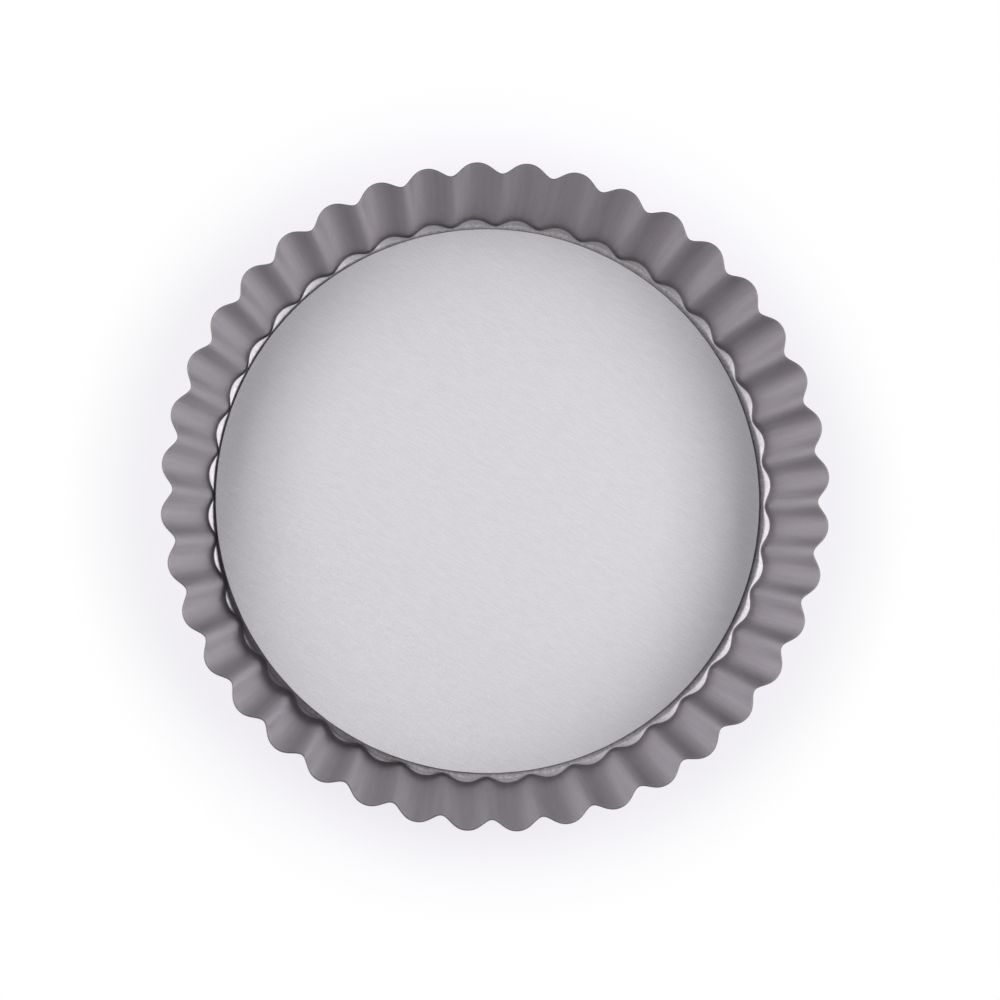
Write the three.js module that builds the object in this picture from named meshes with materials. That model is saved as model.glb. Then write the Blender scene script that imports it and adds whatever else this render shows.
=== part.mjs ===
// Loose-bottom fluted baking pan: a ring drawn from sheet steel, and a loose disc that lies on its ledge.
// Millimetres, +Z up. The origin is on the table under the ring's centre, and an outward flute lies on +X.

import * as THREE from 'three';
import { ParametricGeometry } from 'three/addons/geometries/ParametricGeometry.js';
import { mergeVertices } from 'three/addons/utils/BufferGeometryUtils.js';

// Ring, measured outside. The foot is the corner that wall and table would make without the fillet.
const RIM_DIAMETER = 250; // over the outward flutes
const FOOT_DIAMETER = 214.8; // over the outward flutes
const HEIGHT = 35;
const RING_SHEET = 0.6;
const FLOOR_DIAMETER = 209.2; // flat floor, where the fillet runs out, halfway between two flutes
const HOLE_DIAMETER = 192; // hole pierced in the floor, which leaves the ledge

// Fillet between floor and wall. It bends up from the floor into a straight scoop, which ends in a tight bend.
const SCOOP_SLOPE = THREE.MathUtils.degToRad(27);
const FLOOR_BEND = 0.2; // share of the fillet's length in the bend at the floor
const WALL_BEND = 0.2; // share in the bend at the wall
const FLOOR_WAVE = 0.15; // how much further in it starts in an outward flute, and further out at an inward one

// Flutes. Each is a wave that is broad on its outward side and tight on its inward side.
const FLUTES = 40;
const RIM_WAVE = 2.25; // half the depth of the flutes at the rim
const FOOT_WAVE = 0.935; // half their depth at the foot
const WAVE_TIGHTNESS = 0.115; // share of the second harmonic

// Loose base.
const BASE_DIAMETER = 208.2;
const BASE_SHEET = 0.6;
const BASE_EDGE_ROUND = 0.25; // rounding that the shear leaves on the upper edge
const SEAT_GAP = 0.15; // air between the ledge and the base, which lies on the ledge's high spots
const BASE_PLAY = new THREE.Vector3(-0.73, 0.14, 0); // the base has slid aside, up to the inward flutes

// Facets.
const COLUMNS_PER_FLUTE = 8;
const FILLET_STEPS = 5;
const BASE_SIDES = 160;
const EDGE_STEPS = 3;

const HOLE_RADIUS = HOLE_DIAMETER / 2;
const BASE_RADIUS = BASE_DIAMETER / 2;

// Radius of a fluted round at one phase of the flutes, from its diameter over the outward flutes.
function flutedRadius(diameter, halfDepth, phase) {
  const wave = Math.cos(phase) - WAVE_TIGHTNESS * Math.cos(2 * phase);
  const crest = 1 - WAVE_TIGHTNESS;
  return diameter / 2 + halfDepth * (wave - crest);
}

// Slope of the fillet after so many steps, from level at the floor to the sweep that ends at the wall.
function filletTurn(step, sweep) {
  const share = step / FILLET_STEPS;
  const scoop = SCOOP_SLOPE * THREE.MathUtils.smoothstep(share, 0, FLOOR_BEND);
  return scoop + (sweep - SCOOP_SLOPE) * THREE.MathUtils.smoothstep(share, 1 - WALL_BEND, 1);
}

// Points of the fillet's upper face, which climbs outwards from the floor in steps of one length.
function risingFillet(start, stepLength, sweep) {
  const points = [start];
  for (let step = 0; step < FILLET_STEPS; step += 1) {
    const turn = filletTurn(step + 0.5, sweep);
    const advance = new THREE.Vector2(Math.cos(turn), Math.sin(turn)).multiplyScalar(stepLength);
    points.push(points[step].clone().add(advance));
  }
  return points;
}

// Closed section of the ring's sheet in the plane through the axis, at one phase of the flute wave.
// It climbs the inside from the ledge's edge to the rim and comes down the outside.
// The fillet is a wide scoop in an outward flute and tight at an inward one.
function ringSection(phase) {
  const rim = flutedRadius(RIM_DIAMETER, RIM_WAVE, phase);
  const foot = flutedRadius(FOOT_DIAMETER, FOOT_WAVE, phase);
  const floor = FLOOR_DIAMETER / 2 - FLOOR_WAVE * Math.cos(phase);
  const lean = Math.atan2(rim - foot, HEIGHT);
  const sweep = Math.PI / 2 - lean;
  const wallAcross = RING_SHEET / Math.cos(lean);
  const wallFoot = foot + RING_SHEET * Math.tan(lean) - wallAcross;
  const reach = risingFillet(new THREE.Vector2(), 1, sweep)[FILLET_STEPS];
  const stepLength = (wallFoot - floor) / (reach.x - reach.y * Math.tan(lean));
  const inside = risingFillet(new THREE.Vector2(floor, RING_SHEET), stepLength, sweep);
  const outside = inside.map((point, step) => {
    const turn = filletTurn(step, sweep);
    return new THREE.Vector2(Math.sin(turn), -Math.cos(turn)).multiplyScalar(RING_SHEET).add(point);
  });
  return [
    new THREE.Vector2(HOLE_RADIUS, RING_SHEET),
    ...inside,
    new THREE.Vector2(rim - wallAcross, HEIGHT),
    new THREE.Vector2(rim, HEIGHT),
    ...outside.reverse(),
    new THREE.Vector2(HOLE_RADIUS, 0),
  ];
}

// Point of the ring's surface: u runs round the section, v round the axis.
function ringPoint(u, v, target) {
  const angle = 2 * Math.PI * v;
  const section = ringSection(FLUTES * angle);
  const along = u * section.length;
  const before = section[Math.floor(along) % section.length];
  const after = section[Math.ceil(along) % section.length];
  const point = before.clone().lerp(after, along % 1);
  target.set(point.x * Math.cos(angle), point.x * Math.sin(angle), point.y);
}

// Joins the seams of a surface that closes on itself.
function sewn(geometry) {
  geometry.deleteAttribute('normal');
  geometry.deleteAttribute('uv');
  const closed = mergeVertices(geometry);
  closed.computeVertexNormals();
  return closed;
}

function ringGeometry() {
  return sewn(new ParametricGeometry(ringPoint, ringSection(0).length, FLUTES * COLUMNS_PER_FLUTE));
}

// Flat disc, square below and rounded at its upper edge.
function baseGeometry() {
  const roundCentre = new THREE.Vector2(BASE_RADIUS - BASE_EDGE_ROUND, BASE_SHEET - BASE_EDGE_ROUND);
  const roundedEdge = Array.from({ length: EDGE_STEPS + 1 }, (_, step) => {
    const turn = ((Math.PI / 2) * step) / EDGE_STEPS;
    const reach = new THREE.Vector2(Math.cos(turn), Math.sin(turn)).multiplyScalar(BASE_EDGE_ROUND);
    return roundCentre.clone().add(reach);
  });
  const profile = [
    new THREE.Vector2(0, 0),
    new THREE.Vector2(BASE_RADIUS, 0),
    ...roundedEdge,
    new THREE.Vector2(0, BASE_SHEET),
  ];
  return sewn(new THREE.LatheGeometry(profile, BASE_SIDES).rotateX(Math.PI / 2));
}

// Silver-grey non-stick coating. It lies paler on the level base than on the steep wall.
const ringCoat = new THREE.MeshStandardMaterial({ color: 0xb2aeb2, roughness: 0.55, metalness: 0.8 });
const baseCoat = new THREE.MeshStandardMaterial({ color: 0xe6e4e9, roughness: 0.55, metalness: 0.8 });

const flutedRing = new THREE.Mesh(ringGeometry(), ringCoat);
flutedRing.name = 'fluted_ring';

const looseBase = new THREE.Mesh(baseGeometry(), baseCoat);
looseBase.name = 'loose_base';
looseBase.position.copy(BASE_PLAY);
looseBase.position.z = RING_SHEET + SEAT_GAP;

const pan = new THREE.Group();
pan.add(flutedRing, looseBase);

export default pan;
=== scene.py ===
"""Looks of a loose-bottom fluted baking pan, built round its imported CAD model."""

import math
import random
from collections import namedtuple
from itertools import accumulate

import bmesh
import bpy
from bpy.props import FloatProperty, FloatVectorProperty, IntProperty, PointerProperty
from mathutils import Matrix, Vector


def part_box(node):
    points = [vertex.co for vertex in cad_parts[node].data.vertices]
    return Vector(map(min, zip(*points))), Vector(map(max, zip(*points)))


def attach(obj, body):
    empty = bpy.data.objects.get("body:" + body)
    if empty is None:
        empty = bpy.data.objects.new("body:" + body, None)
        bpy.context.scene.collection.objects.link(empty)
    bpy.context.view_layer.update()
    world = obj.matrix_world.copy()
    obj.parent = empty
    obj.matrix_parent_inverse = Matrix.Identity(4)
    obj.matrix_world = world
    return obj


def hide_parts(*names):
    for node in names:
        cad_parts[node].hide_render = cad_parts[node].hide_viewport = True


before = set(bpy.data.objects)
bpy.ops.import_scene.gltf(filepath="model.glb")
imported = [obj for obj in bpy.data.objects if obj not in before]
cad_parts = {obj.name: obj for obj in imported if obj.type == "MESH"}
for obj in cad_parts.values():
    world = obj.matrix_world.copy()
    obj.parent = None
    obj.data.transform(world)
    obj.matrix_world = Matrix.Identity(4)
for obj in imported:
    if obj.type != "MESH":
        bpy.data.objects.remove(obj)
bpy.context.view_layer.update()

bl_info = {
    "name": "Loose-bottom baking pan",
    "version": (1, 0, 0),
    "blender": (4, 5, 0),
    "location": "3D View > Sidebar > Baking Pan",
    "description": "Builds a fluted baking pan with a loose base, and a plain studio to show it in",
    "category": "Add Mesh",
}

MM = 0.001
PAPER_GAP = 0.02 * MM  # a hair under the ring, so that paper and ring don't share one plane
SENSOR_WIDTH_MM = 36.0

RING_LOW, RING_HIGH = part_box("fluted_ring")
BASE_LOW, BASE_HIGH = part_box("loose_base")

Coat = namedtuple("Coat", "colour metallic roughness peel mottle")


def linear_colour(hex_code):
    """Turns an sRGB hex value such as "#B4B2B7" into the linear colour that shaders take."""
    channels = [int(hex_code[place:place + 2], 16) / 255 for place in (1, 3, 5)]
    return [c / 12.92 if c <= 0.04045 else ((c + 0.055) / 1.055) ** 2.4 for c in channels]


class RingSizes(bpy.types.PropertyGroup):
    """Sizes of the fluted ring, measured outside."""

    rim_diameter: FloatProperty(
        name="Rim diameter", description="Across the outward flutes at the rim",
        default=RING_HIGH.x - RING_LOW.x, unit="LENGTH",
    )
    height: FloatProperty(
        name="Height", description="From the table to the rim",
        default=RING_HIGH.z - RING_LOW.z, unit="LENGTH",
    )
    foot_diameter: FloatProperty(
        name="Foot diameter", description="Across the outward flutes where wall and table would meet",
        default=214.8 * MM, unit="LENGTH",
    )
    floor_diameter: FloatProperty(
        name="Floor diameter", description="Flat floor where the fillet runs out, halfway between two flutes",
        default=209.2 * MM, unit="LENGTH",
    )
    floor_wave: FloatProperty(
        name="Floor wave", description="How much further in the fillet starts under an outward flute",
        default=0.15 * MM, unit="LENGTH",
    )
    hole_diameter: FloatProperty(
        name="Hole diameter", description="Hole pierced in the floor, which leaves the ledge",
        default=192.0 * MM, unit="LENGTH",
    )
    sheet: FloatProperty(
        name="Sheet", description="Thickness of the steel sheet",
        default=0.6 * MM, unit="LENGTH",
    )
    flutes: IntProperty(name="Flutes", description="Number of flutes round the wall", default=40, min=3)
    rim_wave: FloatProperty(
        name="Rim wave", description="Half the depth of the flutes at the rim",
        default=2.25 * MM, unit="LENGTH",
    )
    foot_wave: FloatProperty(
        name="Foot wave", description="Half the depth of the flutes at the foot",
        default=0.935 * MM, unit="LENGTH",
    )
    wave_tightness: FloatProperty(
        name="Wave tightness", description="How much tighter a flute turns on its inward side",
        default=0.115, subtype="FACTOR",
    )
    scoop_slope: FloatProperty(
        name="Scoop slope", description="Slope of the fillet's straight part, between floor and wall",
        default=math.radians(30), subtype="ANGLE",
    )
    floor_bend: FloatProperty(
        name="Floor bend", description="Share of the fillet's length in its bend at the floor",
        default=0.55, subtype="FACTOR",
    )
    wall_bend: FloatProperty(
        name="Wall bend", description="Share of the fillet's length in its bend at the wall",
        default=0.2, subtype="FACTOR",
    )
    depth_drift: FloatProperty(
        name="Depth drift", description="Share of the flutes' depth by which pressing leaves them uneven",
        default=0.06, subtype="FACTOR",
    )
    spacing_drift: FloatProperty(
        name="Spacing drift", description="Angle by which pressing leaves the flutes off their places",
        default=math.radians(0.12), subtype="ANGLE",
    )
    edge_round: FloatProperty(
        name="Edge round", description="Rounding of the cut edges after deburring",
        default=0.08 * MM, unit="LENGTH",
    )


class BaseSizes(bpy.types.PropertyGroup):
    """Sizes of the loose base."""

    diameter: FloatProperty(
        name="Diameter", description="Across the disc",
        default=BASE_HIGH.x - BASE_LOW.x, unit="LENGTH",
    )
    sheet: FloatProperty(
        name="Sheet", description="Thickness of the steel sheet",
        default=BASE_HIGH.z - BASE_LOW.z, unit="LENGTH",
    )
    edge_round: FloatProperty(
        name="Edge round", description="Rounding that the shear leaves on the upper edge",
        default=0.4 * MM, unit="LENGTH",
    )
    burr_round: FloatProperty(
        name="Burr round", description="Rounding of the lower edge after deburring",
        default=0.08 * MM, unit="LENGTH",
    )
    bow_height: FloatProperty(
        name="Bow height", description="How far the edge is bowed up where it rides on the foot of the wall",
        default=2.7 * MM, unit="LENGTH",
    )
    bow_direction: FloatProperty(
        name="Bow direction", description="Side on which the edge is bowed up, round the axis from +X",
        default=math.radians(219), subtype="ANGLE",
    )
    bow_spread: FloatProperty(
        name="Bow spread", description="Angle over which the bow fades out on either side",
        default=math.radians(29), subtype="ANGLE",
    )
    bow_start: FloatProperty(
        name="Bow start", description="Radius at which the disc starts to bow up",
        default=45.0 * MM, unit="LENGTH",
    )


class Finishes(bpy.types.PropertyGroup):
    """Colours of the finishes."""

    base_coating: FloatVectorProperty(
        name="Base coating", description="Pale silver non-stick coating of the level base",
        default=linear_colour("#EBE9EE"), subtype="COLOR",
    )
    # Painted shade: the rounded edge of the base is painted this darker grey, which deepens the line of shade
    # round the base.
    edge_coating_with_painted_shade: FloatVectorProperty(
        name="Edge coating", description="Silver non-stick coating round the edge of the base",
        default=linear_colour("#938E92"), subtype="COLOR",
    )
    # Painted shade: the ring's level coat is painted darker than the base coating, standing in for the shade
    # near the wall.
    foot_coating: FloatVectorProperty(
        name="Foot coating", description="Silver non-stick coating of the ring, where the sheet lies level",
        default=linear_colour("#CCC8CD"), subtype="COLOR",
    )
    # Painted shade: steep faces of the ring are painted this darker grey, standing in for the light the wall
    # loses; the real ring's coat is the same silver as on its ledge and the base.
    wall_coating_with_painted_shade: FloatVectorProperty(
        name="Wall coating", description="Grey non-stick coating, where the sheet stands steep",
        default=linear_colour("#938E92"), subtype="COLOR",
    )
    cut_steel: FloatVectorProperty(
        name="Cut steel", description="Bare steel of the sheared edges",
        default=linear_colour("#77726F"), subtype="COLOR",
    )
    paper: FloatVectorProperty(
        name="Paper", description="White paper that the pan stands on",
        default=linear_colour("#F0EAF9"), subtype="COLOR",
    )


class StageSettings(bpy.types.PropertyGroup):
    """Camera and light. Directions are angles round the pan's axis, counted from +X."""

    camera_distance: FloatProperty(
        name="Camera distance", description="From the camera to the plane of the rim",
        default=1.351, unit="LENGTH",
    )
    camera_tilt: FloatProperty(
        name="Camera tilt", description="How far the camera stands off the pan's axis",
        default=math.radians(5.29), subtype="ANGLE",
    )
    camera_direction: FloatProperty(
        name="Camera direction", description="Side to which the camera stands off",
        default=math.radians(213.7), subtype="ANGLE",
    )
    camera_turn: FloatProperty(
        name="Camera turn", description="Turn of the picture about the line of sight",
        default=math.radians(3.6), subtype="ANGLE",
    )
    framed_width: FloatProperty(
        name="Framed width", description="Width of the picture at the plane of the rim",
        default=372.1 * MM, unit="LENGTH",
    )
    aim: FloatVectorProperty(
        name="Aim", description="Point of the rim's plane in the middle of the picture",
        default=(0.88 * MM, -1.84 * MM), size=2, unit="LENGTH",
    )
    lamp_distance: FloatProperty(
        name="Lamp distance", description="From the pan to each soft box",
        default=1.3, unit="LENGTH",
    )
    lamp_width: FloatProperty(
        name="Lamp width", description="Width of each soft box",
        default=1.7, unit="LENGTH",
    )
    lamp_height: FloatProperty(
        name="Lamp height", description="Height of each soft box",
        default=0.48, unit="LENGTH",
    )
    floor_radius: FloatProperty(
        name="Floor radius", description="Radius of the paper floor",
        default=6.0, unit="LENGTH",
    )


class BakingPanSettings(bpy.types.PropertyGroup):
    """Everything a user may change."""

    ring: PointerProperty(type=RingSizes)
    base: PointerProperty(type=BaseSizes)
    finishes: PointerProperty(type=Finishes)
    stage: PointerProperty(type=StageSettings)


def add_node(tree, kind, values=None, links=None, **settings):
    """Adds a node, sets its attributes and socket values, and links outputs to its inputs."""
    node = tree.nodes.new(kind)
    for name, value in settings.items():
        setattr(node, name, value)
    for socket, value in (values or {}).items():
        node.inputs[socket].default_value = value
    for socket, output in (links or {}).items():
        tree.links.new(output, node.inputs[socket])
    return node


def new_material(name):
    """Gives an empty material, its node tree and its output node."""
    material = bpy.data.materials.new(name)
    material.use_nodes = True
    tree = material.node_tree
    tree.nodes.clear()
    return material, tree, add_node(tree, "ShaderNodeOutputMaterial")


def rolling_lines(tree, place):
    """Places of the straight, close lines that the rolling mill leaves in flat sheet."""
    lie = math.radians(146)
    apart = 0.35 * MM  # drawn coarser than the real lines, which are too fine to show
    run = 5 * MM
    return add_node(
        tree, "ShaderNodeMapping", {"Rotation": (0, 0, lie), "Scale": (run, apart, run)},
        {"Vector": place}, vector_type="TEXTURE",
    ).outputs["Vector"]


def press_lines(tree, place):
    """Places of the lines that the press drags down the wall: close round the ring, long up the wall."""
    apart = 1.5 * MM  # drawn coarser than the real lines, which are too fine to show
    run = 25 * MM
    turns = RING_HIGH.x / apart
    level = add_node(tree, "ShaderNodeVectorMath", {1: (1, 1, 0)}, {0: place}, operation="MULTIPLY")
    height = add_node(tree, "ShaderNodeVectorMath", {1: (0, 0, 1 / run)}, {0: place}, operation="MULTIPLY")
    around = add_node(tree, "ShaderNodeVectorMath", links={0: level.outputs[0]}, operation="NORMALIZE")
    return add_node(
        tree, "ShaderNodeVectorMath", {1: (turns, turns, 0)},
        {0: around.outputs[0], 2: height.outputs[0]}, operation="MULTIPLY_ADD",
    ).outputs["Vector"]


def sprayed_coating(name, level, steep, sheet_lines, line_contrast):
    """Non-stick coating, sprayed on the pressed sheet from above and below and baked.

    Fine aluminium flake in a clear binder: a satin silver sheen that follows the light, with a faint orange
    peel. Level faces are duller and steep ones smoother. The colour is painted shade by slope: level faces
    are painted pale and sloping faces greyer, standing in for the light that steep faces lose. The lines
    of the bare sheet show through faintly.

    Slopes are given as the upright part of the face's normal, which is 1 on a level face.
    """
    flake_size = 0.45 * MM  # drawn coarser than real flake, which is too fine to show
    flake_depth = 0.004 * MM
    flake_contrast = 0.07
    peel_size = 1.1 * MM
    # uprights between which the painted shade goes from the grey steep colour to the pale level colour
    full_shade_slope, no_shade_slope = 0.80, 0.96
    smooth_slope, dull_slope = 0.74, 1.0
    noise_low, noise_high = 0.3, 0.7  # most of the noise lies between these
    material, tree, output = new_material(name)
    coords = add_node(tree, "ShaderNodeTexCoord")
    place = coords.outputs["Object"]
    flake = add_node(
        tree, "ShaderNodeTexNoise", {"Scale": 1 / flake_size, "Detail": 2.0, "Roughness": 0.6},
        {"Vector": place},
    )
    peel = add_node(
        tree, "ShaderNodeTexNoise", {"Scale": 1 / peel_size, "Detail": 3.0, "Roughness": 0.55},
        {"Vector": place},
    )
    lines = add_node(
        tree, "ShaderNodeTexNoise", {"Scale": 1.0, "Detail": 1.0}, {"Vector": sheet_lines(tree, place)},
    )
    upright = add_node(tree, "ShaderNodeSeparateXYZ", links={"Vector": coords.outputs["Normal"]})
    upright = add_node(tree, "ShaderNodeMath", links={0: upright.outputs["Z"]}, operation="ABSOLUTE")
    # painted shade by slope: 0 on steep faces, which get the darker steep colour, and 1 on level faces
    pale = add_node(
        tree, "ShaderNodeMapRange", {"From Min": full_shade_slope, "From Max": no_shade_slope},
        {"Value": upright.outputs[0]}, interpolation_type="SMOOTHSTEP",
    )
    dull = add_node(
        tree, "ShaderNodeMapRange", {"From Min": smooth_slope, "From Max": dull_slope},
        {"Value": upright.outputs[0]}, interpolation_type="SMOOTHSTEP",
    ).outputs["Result"]
    # painted shade: the colour runs from the grey steep colour to the pale level colour as faces turn upright
    colour = add_node(tree, "ShaderNodeValToRGB", links={"Fac": pale.outputs["Result"]})
    colour.color_ramp.elements[0].color = [*steep.colour, 1.0]
    colour.color_ramp.elements[1].color = [*level.colour, 1.0]
    metallic = add_node(
        tree, "ShaderNodeMapRange", {"To Min": steep.metallic, "To Max": level.metallic}, {"Value": dull},
    )
    roughness = add_node(
        tree, "ShaderNodeMapRange", {"To Min": steep.roughness, "To Max": level.roughness}, {"Value": dull},
    )
    speckle = add_node(
        tree, "ShaderNodeMapRange",
        {
            "From Min": noise_low, "From Max": noise_high,
            "To Min": 1 - flake_contrast, "To Max": 1 + flake_contrast,
        },
        {"Value": flake.outputs["Fac"]},
    )
    clump = add_node(
        tree, "ShaderNodeMapRange",
        {"From Min": noise_low, "From Max": noise_high, "To Min": -1.0, "To Max": 1.0},
        {"Value": peel.outputs["Fac"]},
    )
    mottle = add_node(
        tree, "ShaderNodeMapRange", {"To Min": steep.mottle, "To Max": level.mottle}, {"Value": dull},
    )
    blotch = add_node(
        tree, "ShaderNodeMath", {2: 1.0}, {0: clump.outputs["Result"], 1: mottle.outputs["Result"]},
        operation="MULTIPLY_ADD",
    )
    streak = add_node(
        tree, "ShaderNodeMapRange",
        {
            "From Min": noise_low, "From Max": noise_high,
            "To Min": 1 - line_contrast, "To Max": 1 + line_contrast,
        },
        {"Value": lines.outputs["Fac"]},
    )
    tint = add_node(
        tree, "ShaderNodeVectorMath",
        links={0: colour.outputs["Color"], 1: speckle.outputs["Result"]}, operation="MULTIPLY",
    )
    for pattern in (blotch.outputs[0], streak.outputs["Result"]):
        tint = add_node(
            tree, "ShaderNodeVectorMath", links={0: tint.outputs["Vector"], 1: pattern}, operation="MULTIPLY",
        )
    depth = add_node(
        tree, "ShaderNodeMapRange", {"To Min": steep.peel, "To Max": level.peel}, {"Value": dull},
    )
    relief = add_node(
        tree, "ShaderNodeBump", {"Strength": 1.0},
        {"Height": peel.outputs["Fac"], "Distance": depth.outputs["Result"]},
    )
    grain = add_node(
        tree, "ShaderNodeBump", {"Strength": 1.0, "Distance": flake_depth},
        {"Height": flake.outputs["Fac"], "Normal": relief.outputs["Normal"]},
    )
    coat = add_node(
        tree, "ShaderNodeBsdfPrincipled",
        links={
            "Base Color": tint.outputs["Vector"], "Metallic": metallic.outputs["Result"],
            "Roughness": roughness.outputs["Result"], "Normal": grain.outputs["Normal"],
        },
    )
    tree.links.new(coat.outputs["BSDF"], output.inputs["Surface"])
    return material


def sheared_edge(colour, name):
    """Bare cut edge of the steel sheet: dull, darker and a little browner than the coating."""
    score_size = 0.3 * MM  # drawn coarser than the real scores, which are too fine to show
    score_depth = 0.01 * MM
    score_contrast = 0.2
    material, tree, output = new_material(name)
    place = add_node(tree, "ShaderNodeTexCoord").outputs["Object"]
    scores = add_node(tree, "ShaderNodeTexNoise", {"Scale": 1 / score_size, "Detail": 2.0}, {"Vector": place})
    tint = add_node(tree, "ShaderNodeValToRGB", links={"Fac": scores.outputs["Fac"]})
    tint.color_ramp.elements[0].color = [c * (1 - score_contrast) for c in colour] + [1.0]
    tint.color_ramp.elements[1].color = [c * (1 + score_contrast) for c in colour] + [1.0]
    relief = add_node(
        tree, "ShaderNodeBump", {"Strength": 1.0, "Distance": score_depth}, {"Height": scores.outputs["Fac"]},
    )
    steel = add_node(
        tree, "ShaderNodeBsdfPrincipled", {"Metallic": 1.0, "Roughness": 0.55},
        {"Base Color": tint.outputs["Color"], "Normal": relief.outputs["Normal"]},
    )
    tree.links.new(steel.outputs["BSDF"], output.inputs["Surface"])
    return material


def white_paper(colour):
    """Matt white paper. Seen directly or in a reflection it is washed out to white, with a pale shadow."""
    wash_near, wash_far = 0.63, 1.0
    near_radius, far_radius = 124 * MM, 168 * MM
    material, tree, output = new_material("Matt_white_paper")
    ray = add_node(tree, "ShaderNodeLightPath")
    seen = add_node(
        tree, "ShaderNodeMath", links={0: ray.outputs["Is Camera Ray"], 1: ray.outputs["Is Glossy Ray"]},
        operation="MAXIMUM",
    )
    seen = add_node(
        tree, "ShaderNodeMath", links={0: seen.outputs[0], 1: ray.outputs["Is Transmission Ray"]},
        operation="MAXIMUM",
    )
    place = add_node(tree, "ShaderNodeTexCoord").outputs["Object"]
    reach = add_node(tree, "ShaderNodeVectorMath", links={0: place}, operation="LENGTH")
    wash = add_node(
        tree, "ShaderNodeMapRange",
        {"From Min": near_radius, "From Max": far_radius, "To Min": wash_near, "To Max": wash_far},
        {"Value": reach.outputs["Value"]}, interpolation_type="SMOOTHSTEP",
    )
    share = add_node(
        tree, "ShaderNodeMath", links={0: seen.outputs[0], 1: wash.outputs["Result"]}, operation="MULTIPLY",
    )
    matt = add_node(tree, "ShaderNodeBsdfDiffuse", {"Color": [*colour, 1.0]})
    white = add_node(tree, "ShaderNodeEmission", {"Color": (1.0, 1.0, 1.0, 1.0), "Strength": 1.0})
    mixed = add_node(
        tree, "ShaderNodeMixShader",
        links={0: share.outputs[0], 1: matt.outputs["BSDF"], 2: white.outputs["Emission"]},
    )
    tree.links.new(mixed.outputs["Shader"], output.inputs["Surface"])
    return material


def object_from(bm, name):
    """Turns a bmesh into a smooth-shaded object of the scene."""
    mesh = bpy.data.meshes.new(name)
    bm.to_mesh(mesh)
    bm.free()
    mesh.shade_smooth()
    piece = bpy.data.objects.new(name, mesh)
    bpy.context.scene.collection.objects.link(piece)
    return piece


def drift(seed, harmonics):
    """Gives a smooth function of an angle, from -1 to 1, uneven round the turn and the same on each run."""
    draw = random.Random(seed)
    waves = [(count, draw.uniform(0, math.tau)) for count in harmonics]
    return lambda angle: sum(math.cos(count * angle + start) for count, start in waves) / len(waves)


def spread(first, last, steps):
    """Evenly spaced values from first to last, both included."""
    return [first + (last - first) * step / steps for step in range(steps + 1)]


def smoothstep(value, low, high):
    """Rises smoothly from 0 at low to 1 at high."""
    share = min(max((value - low) / (high - low), 0.0), 1.0)
    return share * share * (3 - 2 * share)


def fillet_turn(sizes, share, sweep):
    """Slope of the fillet at a share of its length. It is level at the floor and ends in the wall's slope."""
    scoop = sizes.scoop_slope * smoothstep(share, 0, sizes.floor_bend)
    return scoop + (sweep - sizes.scoop_slope) * smoothstep(share, 1 - sizes.wall_bend, 1)


def ring_section(sizes, phase, depth):
    """Inner skin of the ring at one phase of the flutes, as points of radius and height.

    It runs from the ledge's edge to the rim. The fillet is a wide scoop in an outward flute and tight at an
    inward one.
    """
    ledge_steps, fillet_steps, wall_steps = 6, 20, 14
    wave = depth * (math.cos(phase) - sizes.wave_tightness * math.cos(2 * phase))
    crest = 1 - sizes.wave_tightness
    rim = sizes.rim_diameter / 2 + sizes.rim_wave * (wave - crest)
    foot = sizes.foot_diameter / 2 + sizes.foot_wave * (wave - crest)
    floor = sizes.floor_diameter / 2 - sizes.floor_wave * math.cos(phase)
    lean = math.atan2(rim - foot, sizes.height)
    sweep = math.pi / 2 - lean
    ledge = [(radius, sizes.sheet) for radius in spread(sizes.hole_diameter / 2, floor, ledge_steps)]
    turns = [fillet_turn(sizes, (step + 0.5) / fillet_steps, sweep) for step in range(fillet_steps)]
    across = list(accumulate(math.cos(turn) for turn in turns))
    climb = list(accumulate(math.sin(turn) for turn in turns))
    room = foot - floor - sizes.sheet * (1 - math.sin(lean)) / math.cos(lean)
    step = room / (across[-1] - climb[-1] * math.tan(lean))
    bend = [(floor + step * out, sizes.sheet + step * up) for out, up in zip(across, climb)]
    top = (rim - sizes.sheet * math.cos(lean), sizes.height)
    wall = zip(spread(bend[-1][0], top[0], wall_steps), spread(bend[-1][1], top[1], wall_steps))
    return ledge + bend + list(wall)[1:]


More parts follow.
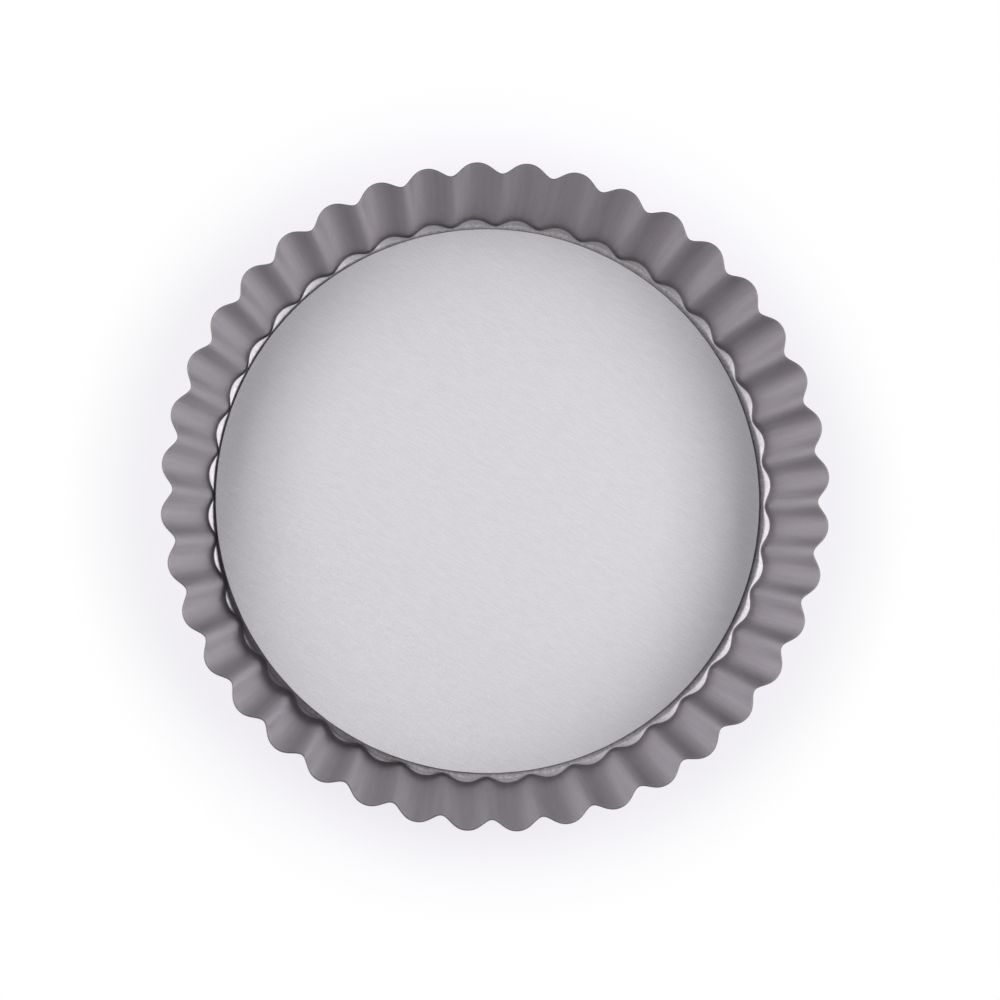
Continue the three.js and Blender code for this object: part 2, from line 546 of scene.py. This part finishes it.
class BAKING_PAN_OT_fluted_ring(bpy.types.Operator):
    """Build the fluted ring: one drawn sheet with a flared wall, a foot fillet and an inward ledge"""

    bl_idname = "baking_pan.fluted_ring"
    bl_label = "Fluted Ring"

    def execute(self, context):
        settings = context.scene.baking_pan
        sizes = settings.ring
        columns_per_flute = 24
        columns = sizes.flutes * columns_per_flute
        depth_drift = drift(seed=3, harmonics=(3, 7, 11, 16, 23))
        spacing_drift = drift(seed=8, harmonics=(2, 5, 9, 14, 21))
        bm = bmesh.new()
        rows = []
        for column in range(columns):
            angle = math.tau * column / columns
            phase = sizes.flutes * (angle + sizes.spacing_drift * spacing_drift(angle))
            depth = 1 - sizes.depth_drift * (1 + depth_drift(angle)) / 2
            rows.append([
                bm.verts.new((radius * math.cos(angle), radius * math.sin(angle), height))
                for radius, height in ring_section(sizes, phase, depth)
            ])
        for here, there in zip(rows, rows[1:] + rows[:1]):
            for low, high in zip(range(len(here) - 1), range(1, len(here))):
                bm.faces.new((here[low], there[low], there[high], here[high]))
        bmesh.ops.recalc_face_normals(bm, faces=bm.faces)
        up = sum(face.normal.z * face.calc_area() for face in bm.faces)
        if up < 0:
            bmesh.ops.reverse_faces(bm, faces=bm.faces)
        ring = object_from(bm, "fluted_ring_pressed")
        finishes = settings.finishes
        ledge_coat = Coat(
            finishes.foot_coating, metallic=0.9, roughness=0.56, peel=0.030 * MM, mottle=0.20,
        )
        # painted shade: the wall's colour is the darker grey painted on steep faces; metallic and roughness
        # set its gloss
        wall_coat = Coat(
            finishes.wall_coating_with_painted_shade, metallic=1.0, roughness=0.37, peel=0.005 * MM, mottle=0.02,
        )
        ring.data.materials.append(
            sprayed_coating("Ring_nonstick_coating", ledge_coat, wall_coat, press_lines, line_contrast=0.04)
        )
        ring.data.materials.append(sheared_edge(finishes.cut_steel, "Ring_sheared_edge"))
        thickness = ring.modifiers.new("Sheet thickness", "SOLIDIFY")
        thickness.thickness = sizes.sheet
        thickness.offset = -1
        thickness.use_even_offset = True
        thickness.material_offset_rim = 1
        deburr = ring.modifiers.new("Deburred edges", "BEVEL")
        deburr.width = sizes.edge_round
        deburr.segments = 3
        deburr.limit_method = "ANGLE"
        deburr.angle_limit = math.radians(50)
        ring.modifiers.new("Face normals", "WEIGHTED_NORMAL")
        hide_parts("fluted_ring")
        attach(ring, "ring")
        return {"FINISHED"}


def bow_rise(sizes, point):
    """How far the disc is bowed up at a point, next to where its edge rides on the foot of the wall."""
    reach = (math.hypot(point.x, point.y) - sizes.bow_start) / (sizes.diameter / 2 - sizes.bow_start)
    if reach <= 0:
        return 0.0
    aside = (math.atan2(point.y, point.x) - sizes.bow_direction + math.pi) % math.tau - math.pi
    return sizes.bow_height * math.exp(-((aside / sizes.bow_spread) ** 2)) * min(reach, 1.0) ** 2


class BAKING_PAN_OT_loose_base(bpy.types.Operator):
    """Build the loose base: a flat sheared disc that lies on the ledge"""

    bl_idname = "baking_pan.loose_base"
    bl_label = "Loose Base"

    def execute(self, context):
        settings = context.scene.baking_pan
        sizes = settings.base
        sides, face_steps, round_steps, burr_steps = 384, 24, 8, 3
        weld_distance = 1e-7
        cut_slope = 0.3  # upright part of the normal, under which a face belongs to the cut edge
        radius, top, bottom = sizes.diameter / 2, sizes.sheet, 0.0
        upper = [
            (
                radius - sizes.edge_round * (1 - math.sin(turn)),
                top - sizes.edge_round * (1 - math.cos(turn)),
            )
            for turn in spread(0, math.pi / 2, round_steps)
        ]
        lower = [
            (
                radius - sizes.burr_round * (1 - math.cos(turn)),
                bottom + sizes.burr_round * (1 - math.sin(turn)),
            )
            for turn in spread(0, math.pi / 2, burr_steps)
        ]
        face = [(across, top) for across in spread(0, upper[0][0], face_steps)]
        underside = [(across, bottom) for across in spread(lower[-1][0], 0, face_steps)]
        profile = face + upper[1:] + lower + underside[1:]
        bm = bmesh.new()
        points = [bm.verts.new((across, 0.0, height)) for across, height in profile]
        edges = [bm.edges.new(pair) for pair in zip(points, points[1:])]
        bmesh.ops.spin(
            bm, geom=points + edges, cent=(0, 0, 0), axis=(0, 0, 1),
            angle=math.tau, steps=sides, use_merge=True,
        )
        bmesh.ops.remove_doubles(bm, verts=bm.verts, dist=weld_distance)
        bmesh.ops.recalc_face_normals(bm, faces=bm.faces)
        for vert in bm.verts:
            vert.co.z += bow_rise(sizes, vert.co)
        centre = (BASE_LOW + BASE_HIGH) / 2
        bmesh.ops.translate(bm, verts=bm.verts, vec=(centre.x, centre.y, BASE_LOW.z))
        for face in bm.faces:
            face.material_index = int(abs(face.normal.z) < cut_slope)
        base = object_from(bm, "loose_base_disc")
        finishes = settings.finishes
        face_coat = Coat(
            finishes.base_coating, metallic=0.7, roughness=0.6, peel=0.006 * MM, mottle=0.01,
        )
        # painted shade: the edge's colour is the darker grey that deepens the line of shade round the base
        edge_coat = Coat(
            finishes.edge_coating_with_painted_shade, metallic=1.0, roughness=0.40, peel=0.005 * MM, mottle=0.02,
        )
        base.data.materials.append(
            sprayed_coating("Base_nonstick_coating", face_coat, edge_coat, rolling_lines, line_contrast=0.035)
        )
        base.data.materials.append(sheared_edge(finishes.cut_steel, "Base_sheared_edge"))
        base.modifiers.new("Face normals", "WEIGHTED_NORMAL")
        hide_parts("loose_base")
        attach(base, "base")
        return {"FINISHED"}


def direction(turn, climb):
    """Unit vector at an angle round the pan's axis from +X and an angle above the table."""
    flat = math.cos(climb)
    return Vector((flat * math.cos(turn), flat * math.sin(turn), math.sin(climb)))


def add_soft_box(name, watts, towards, stage):
    """Adds a wide area lamp that faces the pan from that direction."""
    lamp = bpy.data.lights.new(name, "AREA")
    lamp.energy = watts
    lamp.shape = "RECTANGLE"
    lamp.size = stage.lamp_width
    lamp.size_y = stage.lamp_height
    holder = bpy.data.objects.new(name, lamp)
    holder.location = towards * stage.lamp_distance
    holder.rotation_euler = towards.to_track_quat("Z", "Y").to_euler()
    holder.visible_camera = False
    bpy.context.scene.collection.objects.link(holder)


def studio_world():
    """A room with white walls and a dark ceiling. Heights are sines of the angle above the table."""
    wall_top, ceiling = 0.53, 0.60
    wall_light, ceiling_light = 1.0, 0.02
    world = bpy.data.worlds.new("Studio_room")
    world.use_nodes = True
    tree = world.node_tree
    tree.nodes.clear()
    place = add_node(tree, "ShaderNodeTexCoord").outputs["Generated"]
    height = add_node(tree, "ShaderNodeSeparateXYZ", links={"Vector": place}).outputs["Z"]
    room = add_node(tree, "ShaderNodeValToRGB", links={"Fac": height})
    room.color_ramp.elements[0].position = wall_top
    room.color_ramp.elements[1].position = ceiling
    room.color_ramp.elements[0].color = (wall_light, wall_light, wall_light, 1.0)
    room.color_ramp.elements[1].color = (ceiling_light, ceiling_light, ceiling_light, 1.0)
    light = add_node(tree, "ShaderNodeBackground", {"Strength": 1.0}, {"Color": room.outputs["Color"]})
    add_node(tree, "ShaderNodeOutputWorld", links={"Surface": light.outputs["Background"]})
    return world


class BAKING_PAN_OT_stage(bpy.types.Operator):
    """Build the stage: a white paper floor, two soft boxes, a white room and the camera"""

    bl_idname = "baking_pan.stage"
    bl_label = "Stage"

    def execute(self, context):
        scene = context.scene
        settings = scene.baking_pan
        stage = settings.stage

        bm = bmesh.new()
        bmesh.ops.create_circle(bm, cap_ends=True, radius=stage.floor_radius, segments=128)
        floor = object_from(bm, "paper_floor")
        floor.location.z = -PAPER_GAP
        floor.data.materials.append(white_paper(list(settings.finishes.paper)))

        for name, turn, climb, watts in (("soft_box_left", 162, 41, 12.7), ("soft_box_right", -7, 40, 13.3)):
            add_soft_box(name, watts, direction(math.radians(turn), math.radians(climb)), stage)
        scene.world = studio_world()

        aim = Vector((*stage.aim, settings.ring.height))
        back = direction(stage.camera_direction, math.pi / 2 - stage.camera_tilt)
        upright = Vector((math.sin(stage.camera_turn), math.cos(stage.camera_turn), 0))
        across = upright.cross(back).normalized()
        camera = bpy.data.cameras.new("overhead_camera")
        camera.sensor_width = SENSOR_WIDTH_MM
        camera.lens = SENSOR_WIDTH_MM * stage.camera_distance / stage.framed_width
        holder = bpy.data.objects.new("overhead_camera", camera)
        turned = Matrix((across, back.cross(across), back)).transposed().to_4x4()
        holder.matrix_world = Matrix.Translation(aim + back * stage.camera_distance) @ turned
        scene.collection.objects.link(holder)
        scene.camera = holder
        scene.view_settings.view_transform = "Standard"
        return {"FINISHED"}


class BAKING_PAN_PT_parts(bpy.types.Panel):
    """Lists what the pan is made of"""

    bl_idname = "BAKING_PAN_PT_parts"
    bl_label = "Baking Pan"
    bl_space_type = "VIEW_3D"
    bl_region_type = "UI"
    bl_category = "Baking Pan"

    def draw(self, context):
        settings = context.scene.baking_pan
        for operator, group in (
            (BAKING_PAN_OT_fluted_ring, settings.ring),
            (BAKING_PAN_OT_loose_base, settings.base),
            (BAKING_PAN_OT_stage, settings.stage),
        ):
            box = self.layout.box()
            box.operator(operator.bl_idname)
            for name in group.__annotations__:
                box.prop(group, name)
        colours = self.layout.box()
        for name in settings.finishes.__annotations__:
            colours.prop(settings.finishes, name)


CLASSES = (
    RingSizes,
    BaseSizes,
    Finishes,
    StageSettings,
    BakingPanSettings,
    BAKING_PAN_OT_fluted_ring,
    BAKING_PAN_OT_loose_base,
    BAKING_PAN_OT_stage,
    BAKING_PAN_PT_parts,
)


def register():
    """Registers the classes and hangs the settings on the scene."""
    for each in CLASSES:
        bpy.utils.register_class(each)
    bpy.types.Scene.baking_pan = PointerProperty(type=BakingPanSettings)


def unregister():
    """Undoes register."""
    del bpy.types.Scene.baking_pan
    for each in reversed(CLASSES):
        bpy.utils.unregister_class(each)


def main():
    register()
    bpy.ops.baking_pan.fluted_ring()
    bpy.ops.baking_pan.loose_base()
    bpy.ops.baking_pan.stage()


if __name__ == "__main__":
    main()
